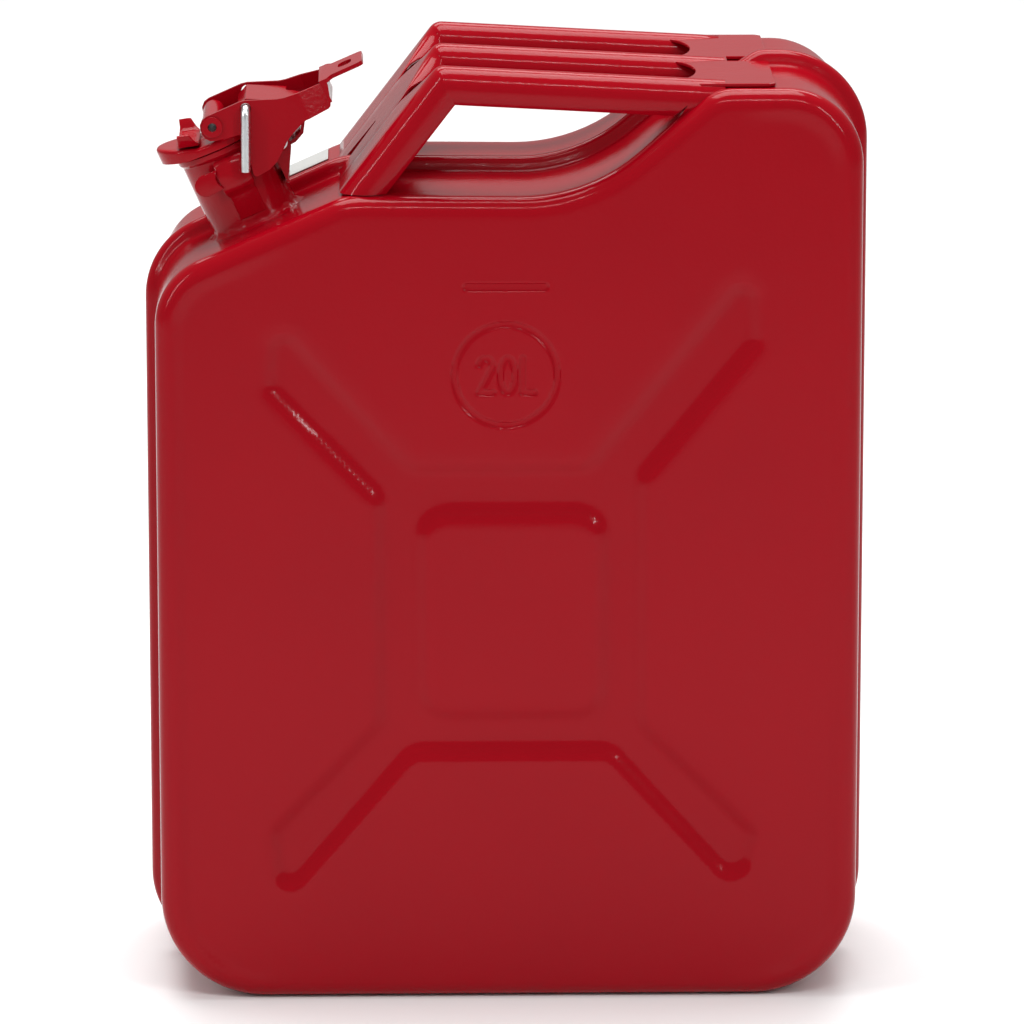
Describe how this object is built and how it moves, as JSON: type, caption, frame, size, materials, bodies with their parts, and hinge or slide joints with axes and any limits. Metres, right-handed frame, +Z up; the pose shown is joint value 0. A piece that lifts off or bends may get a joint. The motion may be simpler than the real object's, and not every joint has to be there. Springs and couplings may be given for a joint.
{
  "type": "fuel can",
  "caption": "Red pressed-steel safety fuel can with an X-braced face, raised seam bead, triple carrying handle and a leaning neck closed by a hinged cam-lever cap with a locking pin.",
  "frame": {"origin": "centre of the base, on the plane the can stands on", "axes": "+Z up, -Y out of the front face with the embossed marks, -X towards the spout"},
  "size_m": [0.351, 0.162, 0.4573],
  "materials": {
    "red_paint": "glossy red enamel with a fine orange peel",
    "zinc": "bright zinc plating",
    "rubber": "matt black",
    "label": "satin vinyl"
  },
  "bodies": {
    "can": {"front_shell": "red_paint", "rear_shell": "red_paint", "neck_tube": "red_paint", "neck_flange": "red_paint", "vent_tube": "red_paint", "front_catch": "red_paint", "rear_catch": "red_paint", "hinge_bracket": "red_paint", "lid_hinge_pin": "zinc", "handle_bar_front": "red_paint", "handle_bar_middle": "red_paint", "handle_bar_rear": "red_paint", "handle_leg": "red_paint", "handle_landing": "red_paint", "blank_label": "label"},
    "lid": {"lid_cap": "red_paint", "cap_gasket": "rubber", "lid_strap": "red_paint", "stop_saddle": "red_paint", "pivot_rivet": "red_paint"},
    "lever": {"cam_lever": "red_paint"},
    "pin": {"locking_pin": "zinc"}
  },
  "joints": [
    {"name": "lid_hinge", "type": "hinge", "parent": "can", "child": "lid", "pos_m": [-0.1092, -0.029, 0.41648], "axis": [0, 1, 0], "range_deg": [0, 90]},
    {"name": "lever_lift", "type": "hinge", "parent": "lid", "child": "lever", "pos_m": [-0.14109, -0.029, 0.42603], "axis": [0, -1, 0], "range_deg": [0, 150]},
    {"name": "pin_pull", "type": "slide", "parent": "lever", "child": "pin", "axis": [0, -1, 0], "range_m": [0, 0.03]}
  ],
  "couplings": [
    {"joint": "lever_lift", "follows": "lid_hinge", "ratio": 1.6667}
  ]
}
